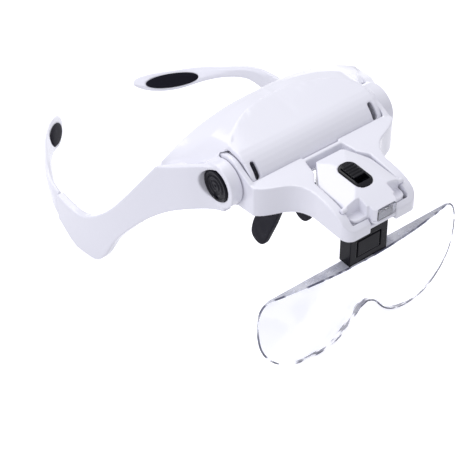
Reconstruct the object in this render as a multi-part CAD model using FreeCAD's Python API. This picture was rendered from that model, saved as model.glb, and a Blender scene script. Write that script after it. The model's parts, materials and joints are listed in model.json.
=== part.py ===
import FreeCAD, Part
import math
import os

V = FreeCAD.Vector

# Head visor magnifier, in millimetres. Everything is laid out about the visor's hinge line:
# +X is the wearer's left, +Y runs to the back of the head, +Z is up, and the hinge line is
# Y = 0, Z = 0. At the end the whole model moves so that its origin lies on the table, under
# the middle of its box. Left-hand pieces are drawn at +X and mirrored to make the right.

# Driving sizes of the headband
hinge_half_width = 56.4
ear_half_width = 86.3
temple_reach = 110.0
temple_wall = 5.0
ground_drop = 94.6
foot_y = 88.0
foot_length = 6.0
shell_wall = 2.4
cylinder_r = 17.4
panel_half_width = 44.8
crease_back = 23.0
crease_rise = 20.5
brow_back = 34.0
brow_rise = 17.3
slot_r = 1.8
slot_high = 122.0
slot_low = 158.0
housing_r = 13.4

# Driving sizes of the hinge
ear_disc_r = 15.0
ear_plate = 3.0
ear_gap = 0.5
housing_inner_x = panel_half_width + ear_plate + 2 * ear_gap
stud_r = 2.0
stud_clearance = 0.08
knob_r = 9.3
knob_depth = 3.6
knob_gap = 0.35
knob_proud = 1.0
nut_wall = 2.6
nut_depth = 3.2
liner_screw_x = 6.8

# Driving sizes of the rear arms
tongue_depth = 15.0
tongue_inset = 0.3
tongue_height = 7.0
tongue_thick = 2.4
arm_clearance = 0.08
arm_root_gap = 0.3
arm_lean = 34.0
pad_length = 36.0
pad_height = 8.8
pad_thick = 2.2

# Driving sizes of the visor bracket
bracket_floor = -11.2
bracket_wall = 2.2
bracket_clearance = 0.6
wing_top = 8.0
rail_bottom = -1.5
pocket_gap = 0.6
pocket_rear_gap = 3.8
tilt_room = 2.0
cradle_wall = 5.5
cradle_front = -69.2
nose_gap_half = 8.7

# Driving sizes of the lamp
lamp_half = 18.5
lamp_rear = -24.0
lamp_front = -66.0
lamp_rear_half = 8.6
lamp_taper = 13.0
pocket_half = lamp_half + pocket_gap
pocket_front = lamp_front - 0.2
pocket_rear = lamp_rear + pocket_rear_gap
cradle_half = pocket_half + cradle_wall
lamp_nose_front = -71.6
lamp_nose_half = 8.1
lamp_top = 9.0
lamp_split = -3.4
lamp_wall = 1.6
lamp_shoulder_y = -59.5
pivot_y = -59.1
pivot_z = 3.1
pivot_r = 1.5
pivot_clearance = 0.08
cell_r = 10.0
cell_thick = 3.2
cell_y = -36.6
cell_fit = 0.3
cell_low = 0.55
screw_y = -50.0
screw_inset = 4.6
screw_fit = 0.05
post_r = 2.4
switch_y = -45.5
switch_length = 20.4
switch_width = 11.2
led_r = 2.5
led_spacing = 6.4
board_top = 0.2

# Driving sizes of the clip and the lens
clip_front = -59.1
clip_rear_wall = 3.6
clip_bottom = -40.2
clip_wall = 1.6
lens_half = 70.0
lens_back = -52.2
lens_gap = 0.2
lens_bulge = 7.4
lens_edge = 1.6
lens_fit = 0.12
plug_half = 9.0
clip_cheek = 4.1
clip_half = plug_half + clip_cheek
plug_rise = 15.0
plug_thick = 3.2
clip_depth = clip_wall + plug_thick + clip_rear_wall
slit_width = 0.9
snap_half = plug_half - 1.4
snap_low = 4.6
snap_high = 15.0

shapes = {}


def box(x0, x1, y0, y1, z0, z1):
    return Part.makeBox(x1 - x0, y1 - y0, z1 - z0, V(x0, y0, z0))


def rod_x(radius, x0, x1, y=0.0, z=0.0):
    return Part.makeCylinder(radius, x1 - x0, V(x0, y, z), V(1, 0, 0))


def rod_y(radius, y0, y1, x, z):
    return Part.makeCylinder(radius, y1 - y0, V(x, y0, z), V(0, 1, 0))


def rod_z(radius, z0, z1, x, y):
    return Part.makeCylinder(radius, z1 - z0, V(x, y, z0), V(0, 0, 1))


def mirrored(shape):
    return shape.mirror(V(0, 0, 0), V(1, 0, 0))


def both_sides(shape):
    return shape.fuse(mirrored(shape)).removeSplitter()


def curve(points):
    spline = Part.BSplineCurve()
    spline.interpolate([V(*p) for p in points])
    return spline.toShape()


def polygon(points):
    corners = [V(*p) for p in points]
    return Part.makePolygon(corners + corners[:1])


def slab(edges, direction):
    face = Part.Face(Part.Wire(Part.__sortEdges__(edges)))
    return face.extrude(direction)


def line(a, b):
    return Part.makeLine(V(*a), V(*b))


def temple_x(y):
    """Outer half width of the headband at a place along it: it swells from hinge to ear."""
    turn = max(0.0, min(1.0, y / temple_reach)) * math.pi / 2
    return hinge_half_width + (ear_half_width - hinge_half_width) * math.sin(turn) ** 0.9


def brow_end():
    """Half width of the roof of the brow, where its back edge runs into the temple's wall."""
    return temple_x(brow_back - 4.0) - shell_wall / 2


# ---------------------------------------------------------------- headband

def crease(x):
    """The line where the front panel meets the roof of the brow."""
    share = abs(x) / (panel_half_width + 2.6)
    back = crease_back * (1 - 0.94 * share ** 2.6)
    rise = crease_rise - 3.3 * share ** 4
    return back, rise


def brow_edge(x):
    """The back edge of the roof of the brow, which faces the forehead."""
    share = abs(x) / brow_end()
    return brow_back - 1.6 * share ** 2, brow_rise - 15.8 * share ** 2.6


def roof_front(x):
    """Front edge of the roof: the crease over the panel, then the edge of the temple."""
    join = panel_half_width
    if abs(x) <= join:
        return crease(x)
    share = (abs(x) - join) / (brow_end() - join)
    y0, z0 = crease(join)
    y1, z1 = brow_edge(brow_end())
    bulge = 4.0 * math.sin(math.pi * share)
    return y0 + (y1 - 4.0 - y0) * share ** 1.3, z0 + (z1 - 4.5 - z0) * share - 0.4 * bulge


def roof_section(x):
    y0, z0 = roof_front(x)
    y1, z1 = brow_edge(x)
    ym, zm = (y0 + y1) / 2, (z0 + z1) / 2 + 0.06 * (y1 - y0)
    drop = shell_wall
    return polygon([(x, y0, z0), (x, ym, zm), (x, y1, z1),
                    (x, y1, z1 - drop), (x, ym, zm - drop), (x, y0, z0 - drop)])


def brow_roof():
    side = brow_end() - panel_half_width
    stations = [panel_half_width * share for share in (0.0, 0.28, 0.54, 0.77, 1.0)]
    stations += [panel_half_width + side * share for share in (0.25, 0.5, 0.75, 1.0)]
    half = Part.makeLoft([roof_section(x) for x in stations], True, False)
    return both_sides(half)


def temple_outline():
    """The side view of a temple: hinge end, long neck, fin that stands on the table."""
    floor = -ground_drop
    end_y = temple_reach + 2.0
    under = curve([(0, -5.0, -15.8), (0, 14.9, -22.9), (0, 28.2, -31.2), (0, 42.9, -45.0),
                   (0, 54.1, -58.4), (0, 64.4, -73.4), (0, 70.5, floor + 9.0),
                   (0, 78.0, floor + 1.0), (0, foot_y - foot_length / 2, floor)])
    foot = line((0, foot_y - foot_length / 2, floor), (0, foot_y + foot_length / 2, floor))
    heel = curve([(0, foot_y + foot_length / 2, floor), (0, 99.0, floor + 2.2), (0, 107.0, floor + 7.6),
                  (0, end_y, floor + 10.8)])
    top = curve([(0, end_y, -65.6), (0, 101.6, -67.1), (0, 91.0, -67.2), (0, 80.1, -61.8),
                 (0, 65.2, -47.7), (0, 55.9, -35.1), (0, 44.5, -17.8), (0, 34.0, -1.5)])
    neck = curve([(0, 34.0, -1.5), (0, 24.1, 2.6), (0, 14.5, 7.2), (0, 3.6, 11.1),
                  (0, -5.0, 12.4)])
    back = line((0, end_y, floor + 10.8), (0, end_y, -65.6))
    front = line((0, -5.0, 12.4), (0, -5.0, -15.8))
    return [under, foot, heel, back, top, neck, front]


def temple_plate():
    side = slab(temple_outline(), V(ear_half_width + 10.0, 0, 0))
    depth = [temple_reach * i / 8.0 for i in range(-1, 11)]
    low = -ground_drop - 10.0
    outer = curve([(temple_x(y), y, low) for y in depth])
    inner = curve([(temple_x(y) - temple_wall, y, low) for y in depth])
    y0, y1 = depth[0], depth[-1]
    ends = [line((temple_x(y) - temple_wall, y, low), (temple_x(y), y, low)) for y in (y0, y1)]
    band = slab([outer, inner] + ends, V(0, 0, ground_drop + 50.0))
    return side.common(band)


def tongue_centre():
    """Middle of the rear arm's tongue, a little inside the middle of the temple's wall."""
    x = ear_half_width - temple_wall / 2 - tongue_inset
    return x, temple_reach + 2.0, -75.3


def tongue(extra):
    x, y, z = tongue_centre()
    half_x = tongue_thick / 2 + extra
    half_z = tongue_height / 2 + extra
    return box(x - half_x, x + half_x, y - tongue_depth - 5 * extra, y + 1.0,
               z - half_z, z + half_z)


def brow_frame():
    plate = temple_plate()
    housing = rod_x(housing_r, housing_inner_x, hinge_half_width)
    side = plate.fuse(housing)
    knob_seat = hinge_half_width - knob_depth
    side = side.cut(rod_x(knob_r + knob_gap, knob_seat, ear_half_width))
    side = side.cut(rod_x(stud_r + stud_clearance, 0.0, knob_seat + 1.0))
    side = side.cut(tongue(arm_clearance))
    frame = brow_roof().fuse([side, mirrored(side)])
    ear_room = rod_x(ear_disc_r + bracket_clearance, panel_half_width - 0.1,
                     housing_inner_x - 0.01)
    return frame.cut(ear_room).cut(mirrored(ear_room)).removeSplitter()


def panel_section(x):
    """Front panel in side view: part of a drum about the hinge line, then a rise to the crease."""
    y1, z1 = crease(x)
    outer = []
    inner = []
    for degrees in range(200, 90, -10):
        a = math.radians(degrees)
        outer.append((x, cylinder_r * math.cos(a), cylinder_r * math.sin(a)))
        r = cylinder_r - shell_wall
        inner.append((x, r * math.cos(a), r * math.sin(a)))
    outer.append((x, y1 - 0.25, z1 - 0.1))
    inner.append((x, y1 - 0.25, z1 - shell_wall))
    return polygon(outer + inner[::-1])


def panel_slot():
    """A round-ended slot near each end of the panel, which the bracket's edge partly covers."""
    x = panel_half_width - 4.2
    middle = math.radians((slot_high + slot_low) / 2)
    out = V(0, math.cos(middle), math.sin(middle))
    along = V(0, -math.sin(middle), math.cos(middle))
    inner_r = cylinder_r - shell_wall - 1.0
    half = cylinder_r * math.sin(math.radians((slot_low - slot_high) / 2)) - slot_r
    ends = [V(x, 0, 0) + out * inner_r + along * step for step in (half, -half)]
    rounds = [Part.makeCylinder(slot_r, cylinder_r, end, out) for end in ends]
    corners = [ends[0] + V(slot_r, 0, 0), ends[0] - V(slot_r, 0, 0),
               ends[1] - V(slot_r, 0, 0), ends[1] + V(slot_r, 0, 0)]
    middle_part = Part.Face(polygon(corners)).extrude(out * cylinder_r)
    return middle_part.fuse(rounds).removeSplitter()


def front_panel():
    end = panel_half_width - 0.1
    stations = [end * share for share in (0.0, 0.28, 0.54, 0.77, 1.0)]
    half = Part.makeLoft([panel_section(x) for x in stations], True, False)
    half = half.cut(panel_slot())
    return both_sides(half).cut(brow_roof())


def liner_section(x):
    """Inner cover in side view: forehead wall, floor, and a lip up to the panel."""
    y1, z1 = brow_edge(x)
    curve_back = 5.0 * (abs(x) / panel_half_width) ** 2
    wall = shell_wall
    rear = 23.0 + curve_back
    path = [(y1 - 1.5, z1 - wall - 0.3), (rear + 3.0, 4.0), (rear, -8.0), (18.0, -14.0),
            (-8.0, -14.6), (-15.9, -7.0)]
    inner = [(-14.0, -5.4), (-7.0, -14.6 + wall), (17.0, -14.0 + wall),
             (rear - wall, -7.4), (rear + 3.0 - wall, 4.6), (y1 - 1.5 - wall, z1 - wall - 0.3)]
    return polygon([(x, y, z) for y, z in path + inner])


def brow_liner():
    stations = [panel_half_width * share for share in (0.0, 0.33, 0.67, 1.0)]
    cover = both_sides(Part.makeLoft([liner_section(x) for x in stations], True, False))
    cheek = rod_x(cylinder_r - shell_wall - 0.6, panel_half_width - 2.3, panel_half_width)
    boss = rod_x(stud_r + nut_wall + 1.6, panel_half_width - 6.4, panel_half_width - 2.3)
    web = box(panel_half_width - 2.3, panel_half_width, 0, 24.0, -13.0, 9.0)
    side = cheek.fuse([boss, web])
    pocket = rod_x(stud_r + nut_wall, panel_half_width - 6.5, panel_half_width - 2.9)
    side = side.cut(pocket)
    side = side.cut(rod_x(stud_r + stud_clearance, 0.0, hinge_half_width))
    cover = cover.fuse([side, mirrored(side)])
    for x in (-liner_screw_x, liner_screw_x):
        cover = cover.cut(liner_screw(x, screw_fit))
    return cover.removeSplitter()


def hinge_nut():
    x1 = panel_half_width - 2.9
    body = rod_x(stud_r + nut_wall, x1 - nut_depth, x1)
    return body.cut(rod_x(stud_r + stud_clearance, x1 - nut_depth - 1, x1 + 1))


def friction_washer():
    x0 = housing_inner_x - ear_gap + 0.05
    ring = rod_x(ear_disc_r - 5.0, x0, housing_inner_x - 0.05)
    return ring.cut(rod_x(stud_r + 0.3, x0 - 1, housing_inner_x + 1))


def knob():
    seat = hinge_half_width - knob_depth + 0.05
    face = hinge_half_width + knob_proud
    disc = rod_x(knob_r, seat, face)
    disc = disc.cut(rod_x(knob_r - 1.2, face - 0.9, face + 1))
    ring = rod_x(knob_r - 3.2, face - 1.0, face - 0.2).cut(rod_x(knob_r - 4.6, face - 2, face))
    cap = rod_x(knob_r - 7.4, face - 1.0, face - 0.1)
    thumb = box(face - 1.0, face + 0.3, -1.1, 1.1, -knob_r + 0.9, -knob_r + 4.0)
    stud = rod_x(stud_r, panel_half_width - 2.9 - nut_depth, seat + 0.5)
    return disc.fuse([ring, cap, thumb, stud]).removeSplitter()


def nose_holder():
    """Black stalk under the brow, with an arm to each nose pad."""
    foot = box(-9.0, 9.0, 0.0, 14.0, -16.6, -14.65)
    stalk = box(-5.0, 5.0, 2.0, 8.0, -40.0, -16.0)
    left = Part.Face(polygon([(0, 2.5, -33.0), (0, 2.5, -40.0), (13.2, 2.5, -50.0),
                              (13.2, 2.5, -44.0)])).extrude(V(0, 5.0, 0))
    pin = rod_x(1.4, 12.4, 15.0, 5.0, -47.0)
    left = left.fuse(pin)
    holder = foot.fuse([stalk, left, mirrored(left)])
    for x in (-liner_screw_x, liner_screw_x):
        holder = holder.cut(liner_screw(x, screw_fit))
    return holder.removeSplitter()


def nose_pad():
    """Soft paddle that lies against the side of the nose."""
    front = curve([(14.0, -7.0, -33.5), (14.0, -1.9, -47.0), (14.0, 4.7, -63.0),
                   (14.0, 9.9, -70.4), (14.0, 15.6, -70.2), (14.0, 18.6, -63.5)])
    back = curve([(14.0, 18.6, -63.5), (14.0, 14.7, -51.0), (14.0, 6.0, -40.0),
                  (14.0, -7.0, -33.5)])
    pad = slab([front, back], V(3.6, 0, 0))
    return pad.cut(rod_x(1.4 + 0.05, 10.0, 15.05, 5.0, -47.0))


def liner_screw(x, grow):
    """Countersunk screw through the nose stalk's foot into the inner cover."""
    head = Part.makeCone(2.0 + grow, 1.0 + grow, 1.2, V(x, 11.0, -16.6), V(0, 0, 1))
    shank = rod_z(1.0 + grow, -15.6, -11.2 + grow, x, 11.0)
    return head.fuse(shank).removeSplitter()


def liner_screws():
    return [liner_screw(x, 0.0) for x in (-liner_screw_x, liner_screw_x)]


# ---------------------------------------------------------------- rear arms

def arm_stations():
    """Places along a rear arm: middle (x, y, z), height, thickness and outward lean."""
    x, y, z = tongue_centre()
    y = y + arm_root_gap
    rows = [(0.0, 0.0, 0.0, 18.6, 4.6, 0.00), (1.2, 8.0, 2.6, 16.6, 4.4, 0.08),
            (4.4, 16.5, 5.6, 12.6, 4.2, 0.22), (8.2, 23.7, 7.4, 8.9, 3.9, 0.36),
            (12.4, 30.5, 6.4, 7.4, 3.7, 0.50), (17.4, 38.0, 4.0, 7.4, 3.5, 0.66),
            (23.4, 46.5, 0.6, 9.0, 3.3, 0.82), (30.6, 55.4, -4.0, 11.6, 3.2, 0.95),
            (38.0, 63.9, -8.3, 12.8, 3.2, 1.00), (45.2, 72.2, -11.2, 11.8, 3.1, 1.00),
            (51.0, 78.9, -13.0, 8.6, 2.7, 1.00), (54.6, 83.4, -14.0, 4.0, 2.0, 1.00)]
    return [(x - inward, y + back, z + rise, tall, thick, lean)
            for inward, back, rise, tall, thick, lean in rows]


def arm_axes(i):
    """Unit vectors at a place along the arm: forward, outward and up its own height."""
    rows = arm_stations()
    a, b = rows[max(i - 1, 0)], rows[min(i + 1, len(rows) - 1)]
    forward = V(b[0] - a[0], b[1] - a[1], 0)
    if i == 0:
        forward = V(0, 1, 0)
    forward.normalize()
    outward = V(forward.y, -forward.x, 0)
    lean = math.radians(arm_lean * rows[i][5])
    height = V(0, 0, 1) * math.cos(lean) + outward * math.sin(lean)
    flat = outward * math.cos(lean) - V(0, 0, 1) * math.sin(lean)
    return forward, flat, height


def arm_section(i):
    x, y, z, tall, thick, share = arm_stations()[i]
    forward, flat, height = arm_axes(i)
    corners = []
    for u, v in ((0.5, 0.25), (0.25, 0.5), (-0.25, 0.5), (-0.5, 0.25),
                 (-0.5, -0.25), (-0.25, -0.5), (0.25, -0.5), (0.5, -0.25)):
        corners.append(V(x, y, z) + flat * (u * thick) + height * (v * tall))
    return Part.makePolygon(corners + corners[:1])


def pad_place():
    """Middle of a rear pad and its axes, on the inner face of the arm."""
    i = 8
    x, y, z, tall, thick, share = arm_stations()[i]
    a, b = arm_stations()[i - 1], arm_stations()[i + 1]
    along = V(b[0] - a[0], b[1] - a[1], b[2] - a[2])
    along.normalize()
    inward = arm_axes(i)[1] * -1
    inward = (inward - along * inward.dot(along)).normalize()
    return V(x, y, z), along, inward, thick / 2


def rear_pad():
    centre, along, inward, half = pad_place()
    seat = centre + inward * (half - 0.7)
    ring = Part.Ellipse(V(0, 0, 0), pad_length / 2, pad_height / 2).toShape()
    disc = Part.Face(Part.Wire([ring])).extrude(V(0, 0, pad_thick))
    side = inward.cross(along)
    turn = FreeCAD.Matrix(along.x, side.x, inward.x, seat.x,
                          along.y, side.y, inward.y, seat.y,
                          along.z, side.z, inward.z, seat.z,
                          0, 0, 0, 1)
    return disc.transformGeometry(turn)


def rear_arm():
    sections = [arm_section(i) for i in range(len(arm_stations()))]
    arm = Part.makeLoft(sections, True, False)
    arm = arm.fuse(tongue(0.0)).removeSplitter()
    return arm.cut(rear_pad())


# ---------------------------------------------------------------- visor bracket

def plan_edge(inset, height):
    """Half outline of the bracket from above, moved inwards by a wall."""
    x_ear = housing_inner_x - ear_gap - inset
    x_side = cradle_half - inset
    y_front = cradle_front + inset
    corner = 6.0
    waist = curve([(x_ear, -21.0 + inset, height), (43.0 - inset / 2, -25.0 + inset, height),
                   (35.0 - inset / 2, -28.4 + inset, height), (28.6 - inset, -32.6 + inset, height),
                   (x_side + 0.6, -39.0, height), (x_side, -46.0, height)])
    side = line((x_side, -46.0, height), (x_side, y_front + corner, height))
    round_corner = Part.Arc(V(x_side, y_front + corner, height),
                            V(x_side - 0.3 * corner, y_front + 0.3 * corner, height),
                            V(x_side - corner, y_front, height)).toShape()
    front = line((x_side - corner, y_front, height), (0, y_front, height))
    middle = line((0, y_front, height), (0, -8.0, height))
    rear = line((0, -8.0, height), (x_ear, -8.0, height))
    outer = line((x_ear, -8.0, height), (x_ear, -21.0 + inset, height))
    return [waist, side, round_corner, front, middle, rear, outer]


def top_block(drop):
    """Everything below the bracket's top surface, which slopes down to the front."""
    top = wing_top - drop
    ridge = curve([(0, -8.0, top + 0.4), (0, -30.0, top - 1.2), (0, -45.0, top - 2.6),
                   (0, -57.0, top - 4.6), (0, -63.0, top - 7.4), (0, -67.0, top - 10.8),
                   (0, cradle_front - 2.0, top - 14.0)])
    low = bracket_floor - 6.0
    walls = [line((0, cradle_front - 2.0, top - 14.0), (0, cradle_front - 2.0, low)),
             line((0, cradle_front - 2.0, low), (0, -8.0, low)),
             line((0, -8.0, low), (0, -8.0, top + 0.4))]
    return slab([ridge] + walls, V(hinge_half_width, 0, 0))


def lamp_pocket(grow):
    """The well that the lamp sits in, open at the top and the bottom."""
    rear_half = lamp_rear_half + 4.0 + grow
    side = pocket_half + grow
    well = polygon([(0, pocket_rear + grow, -30), (rear_half, pocket_rear + grow, -30),
                    (rear_half + tilt_room, lamp_rear - 6.0, -30),
                    (side, lamp_rear - lamp_taper - 0.6 + tilt_room, -30), (side, pocket_front - grow, -30),
                    (0, pocket_front - grow, -30)])
    return Part.Face(well).extrude(V(0, 0, 60))


def bracket_half():
    tall = wing_top - bracket_floor + 4.0
    outer = slab(plan_edge(0.0, bracket_floor), V(0, 0, tall)).common(top_block(0.0))
    inner = slab(plan_edge(bracket_wall, bracket_floor - 1.0), V(0, 0, tall))
    inner = inner.common(top_block(bracket_wall)).cut(lamp_pocket(bracket_wall))
    inner = inner.cut(box(-1, hinge_half_width, -30, 0, -30, 30)
                      .common(rod_x(cylinder_r + bracket_clearance + bracket_wall, 0, 60)))
    shell = outer.cut(inner)
    shell = shell.cut(lamp_pocket(0.0))
    shell = shell.cut(box(-1, nose_gap_half, cradle_front - 3, pocket_front + 1, -30, 30))
    drum = rod_x(cylinder_r + bracket_clearance, -1.0, panel_half_width + ear_gap)
    shell = shell.cut(drum)
    shell = shell.cut(box(-1, panel_half_width + ear_gap, -14.0, 0, -30, 30))
    gap = box(-1, lamp_rear_half + 4.0, pocket_rear + 2.2, -8.0, wing_top - 1.4, 30)
    return shell.cut(gap)


def bracket_ear():
    x0 = panel_half_width + ear_gap
    x1 = housing_inner_x - ear_gap
    disc = rod_x(ear_disc_r, x0, x1)
    neck = Part.Face(polygon([(x0, -4.0, 14.4), (x0, -17.6, wing_top), (x0, -21.0, 5.0),
                              (x0, -21.0, bracket_floor), (x0, -8.0, -12.6)]))
    return disc.fuse(neck.extrude(V(x1 - x0, 0, 0)))


def clip_floor():
    """Cross beam under the front of the well, with the hole that the lens clip hangs in."""
    rear = clip_front + clip_depth
    beam = box(0, pocket_half + 0.5, pocket_front - 0.5, rear + 1.6,
               bracket_floor, bracket_floor + 2.2)
    return beam.cut(box(-1, clip_half + lens_fit, clip_front - lens_fit, rear + lens_fit, -30, 30))


def visor_bracket():
    half = bracket_half().fuse([bracket_ear(), clip_floor()])
    back_rail = box(0, 13.4, pocket_rear, pocket_rear + 1.6, rail_bottom, wing_top - 1.6)
    door_room = box(-1.0, lamp_rear_half + 4.0, pocket_rear - 1.0, 0.0, -30.0, rail_bottom)
    half = half.fuse(back_rail).cut(door_room)
    half = half.cut(rod_x(cylinder_r + bracket_clearance, -1.0, panel_half_width + 0.2))
    half = half.cut(rod_x(stud_r + stud_clearance, 0.0, 60.0))
    pin_r = pivot_r + pivot_clearance
    half = half.cut(rod_x(pin_r, 0.0, pocket_half + 2.4, pivot_y, pivot_z))
    slot = box(0.0, pocket_half + 2.4, pivot_y - 0.9, pivot_y + 0.9, pivot_z, 20.0)
    half = half.cut(slot)
    return both_sides(half)


# ---------------------------------------------------------------- lamp

def lamp_plan(inset, z0, z1):
    """The lamp from above: a rear that narrows, straight sides and square shoulders."""
    side = lamp_half - inset
    rear = lamp_rear - inset
    front = lamp_front + inset
    nose_y = lamp_nose_front + inset
    nose = lamp_nose_half - inset
    half = polygon([(0, rear, z0), (lamp_rear_half - inset / 2, rear, z0),
                    (side - 0.6, lamp_rear - lamp_taper - inset / 2, z0),
                    (side, lamp_rear - lamp_taper - 2.5, z0), (side, front + 4.0, z0),
                    (side - 1.2, front + 1.2, z0), (side - 4.0, front, z0), (nose, front, z0),
                    (nose, nose_y + 2.6, z0), (nose - 2.4, nose_y, z0), (0, nose_y, z0)])
    body = Part.Face(half).extrude(V(0, 0, z1 - z0))
    return both_sides(body)


def lamp_crown(drop):
    """The lamp's crowned top in side view, swept across and rounded off at the sides."""
    top = lamp_top - drop
    ridge = curve([(0, lamp_rear + 6.0, top - 3.4), (0, lamp_rear - 4.0, top - 0.7),
                   (0, -40.0, top), (0, -54.0, top - 0.7), (0, -64.0, top - 3.2),
                   (0, lamp_nose_front - 3.0, top - 6.2)])
    low = -20.0
    y0, y1 = lamp_rear + 6.0, lamp_nose_front - 3.0
    walls = [line((0, y0, top - 3.4), (0, y0, low)), line((0, y0, low), (0, y1, low)),
             line((0, y1, low), (0, y1, top - 6.2))]
    side_view = slab([ridge] + walls, V(2 * lamp_half, 0, 0))
    side_view.translate(V(-lamp_half, 0, 0))
    crown_r = 42.0
    barrel = rod_y(crown_r, lamp_nose_front - 5.0, lamp_rear + 8.0, 0, top - crown_r)
    return side_view.common(barrel)


def shoulder_cut(inset):
    """Steps on each side of the lamp's nose, which drop to the height of the cradle."""
    z = lamp_split + 2.4 - inset
    step = box(lamp_nose_half + 1.4 - inset, 40, lamp_nose_front - 2.0, lamp_shoulder_y + inset,
               z, 40)
    return step.fuse(mirrored(step))


def lamp_cover():
    solid = lamp_plan(0.0, lamp_split, 30).common(lamp_crown(0.0)).cut(shoulder_cut(0.0))
    hollow = lamp_plan(lamp_wall, lamp_split - 1, 30).common(lamp_crown(lamp_wall))
    hollow = hollow.cut(shoulder_cut(lamp_wall))
    cover = solid.cut(hollow)
    post = rod_z(post_r, lamp_split + 0.05, lamp_top - 3.0, lamp_half - screw_inset, screw_y)
    cover = cover.fuse([post.common(solid), mirrored(post).common(solid)])
    pin = rod_x(pivot_r, lamp_half - 1.0, pocket_half + 2.0, pivot_y, pivot_z)
    cover = cover.fuse([pin, mirrored(pin)])
    bore = rod_z(1.0 + screw_fit, lamp_split - 1, lamp_split + 6.0,
                 lamp_half - screw_inset, screw_y)
    cover = cover.cut(bore).cut(mirrored(bore))
    cover = cover.cut(switch_slot(0.1, 30.0))
    window = box(-6.2, 6.2, lamp_nose_front - 1, lamp_nose_front + lamp_wall + 1, -3.0, 3.7)
    return cover.cut(window).removeSplitter()


def switch_slot(grow, top):
    """Round-ended opening for the switch."""
    half_x = switch_width / 2 + grow
    half_y = switch_length / 2 + grow
    corner = 4.6 + grow
    block = box(-half_x, half_x, switch_y - half_y, switch_y + half_y, lamp_top - 5.0, top)
    uprights = [e for e in block.Edges if abs(e.tangentAt(e.FirstParameter).z) > 0.9]
    return block.makeFillet(corner, uprights)


def switch_bezel():
    rim = switch_slot(0.0, 30.0).common(lamp_crown(-0.6))
    rim = rim.cut(box(-60, 60, -80, 0, -20, lamp_top - 3.4))
    half_x = switch_width / 2 - 1.5
    half_y = switch_length / 2 - 3.0
    well = box(-half_x, half_x, switch_y - half_y, switch_y + half_y, lamp_top - 2.4, 30)
    slit = box(-1.6, 1.6, switch_y - 4.5, switch_y + 2.2, -20, 30)
    return rim.cut(well).cut(slit)


def slider():
    """Ribbed thumb piece: slides to the front to switch the lamp on."""
    half_x = switch_width / 2 - 1.7
    y1 = switch_y + switch_length / 2 - 3.2
    y0 = y1 - 10.6
    body = box(-half_x, half_x, y0, y1, lamp_top - 2.3, lamp_top + 1.4)
    for i in range(4):
        y = y0 + 2.0 + 2.2 * i
        body = body.cut(rod_x(0.55, -half_x - 1, half_x + 1, y, lamp_top + 1.5))
    stem = box(-1.3, 1.3, switch_y - 0.6, switch_y + 1.8, lamp_top - 5.6, lamp_top - 2.0)
    return body.fuse(stem).removeSplitter()


def switch_body():
    """The electrical slide switch, on the circuit board."""
    body = box(-4.0, 4.0, switch_y - 7.0, switch_y + 7.0, 0.25, lamp_top - 5.7)
    slit = box(-1.6, 1.6, switch_y - 5.2, switch_y + 5.2, 1.6, 30)
    return body.cut(slit)


def circuit_board():
    top = board_top
    half = lamp_half - lamp_wall - 4.3
    tip = lamp_nose_half - lamp_wall - 0.2
    board = box(-half, half, -57.5, -33.0, top - 1.2, top)
    board = board.fuse(box(-tip, tip, -61.0, -57.0, top - 1.2, top))
    notch = rod_z(post_r + 0.3, -3, 3, lamp_half - screw_inset, screw_y)
    return board.cut(notch).cut(mirrored(notch))


def lamp_base():
    """Tray under the lamp: a deep drum for the coin cells and a shallow floor for the LEDs."""
    floor_z = lamp_split - 1.6
    ceiling = bracket_floor + cell_low + 2 * cell_thick + 0.45
    tray = lamp_plan(0.0, floor_z, lamp_split - 0.05)
    deep = rod_z(cell_r + 2.0, bracket_floor + 0.2, floor_z + 0.2, 0, cell_y)
    lid = rod_z(cell_r + 0.9, floor_z, ceiling + 1.2, 0, cell_y)
    rest_top = board_top - 1.25
    ledge_half = lamp_half - screw_inset - post_r - 0.2
    ledge = box(-ledge_half, ledge_half, -57.0, screw_y, lamp_split - 0.1, rest_top)
    body = tray.fuse([deep, lid, ledge])
    body = body.cut(rod_z(cell_r + cell_fit, bracket_floor - 2, ceiling, 0, cell_y))
    hole = rod_z(1.0 + screw_fit, -20, 0, lamp_half - screw_inset, screw_y)
    sink = rod_z(2.1, -20, floor_z + 0.9, lamp_half - screw_inset, screw_y)
    for tool in (hole, sink):
        body = body.cut(tool).cut(mirrored(tool))
    body = body.cut(door_track(0.06))
    return body.removeSplitter()


def door_track(grow):
    """Two rails of the battery door, which run in grooves under the drum."""
    z = bracket_floor + 1.0
    rail = box(cell_r + 0.6 - grow, cell_r + 1.4 + grow, cell_y - 5.0 - 30 * grow,
               cell_y + 5.0 + 80 * grow, z - grow, z + 0.9 + grow)
    throat = box(cell_r + 0.6 - grow, cell_r + 1.0 + grow, cell_y - 5.0 - 30 * grow,
                 cell_y + 5.0 + 80 * grow, bracket_floor - 2, z + 0.2)
    side = rail.fuse(throat)
    return side.fuse(mirrored(side))


def battery_door():
    """Slides 4 mm to the back to free its rails."""
    plate = rod_z(cell_r + 2.0, bracket_floor - 1.2, bracket_floor + 0.1, 0, cell_y)
    rails = door_track(0.0).common(box(-60, 60, -80, 0, bracket_floor - 1.2, 30))
    grip = box(-5.0, 5.0, cell_y + 6.0, cell_y + 6.8, bracket_floor - 1.8, bracket_floor - 1.0)
    ridge = box(-5.0, 5.0, cell_y + 4.2, cell_y + 5.0, bracket_floor - 1.8, bracket_floor - 1.0)
    return plate.fuse([rails, grip, ridge]).removeSplitter()


def coin_cells():
    """Two 20 mm coin cells, one on the other."""
    cells = []
    for i in range(2):
        z = bracket_floor + cell_low + i * (cell_thick + 0.02)
        cells.append(rod_z(cell_r, z, z + cell_thick, 0, cell_y))
    return cells


def contact_plate():
    z = bracket_floor + cell_low + 2 * cell_thick + 0.08
    return box(-3.0, 3.0, cell_y - 7.0, cell_y + 9.0, z, z + 0.3)


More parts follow.
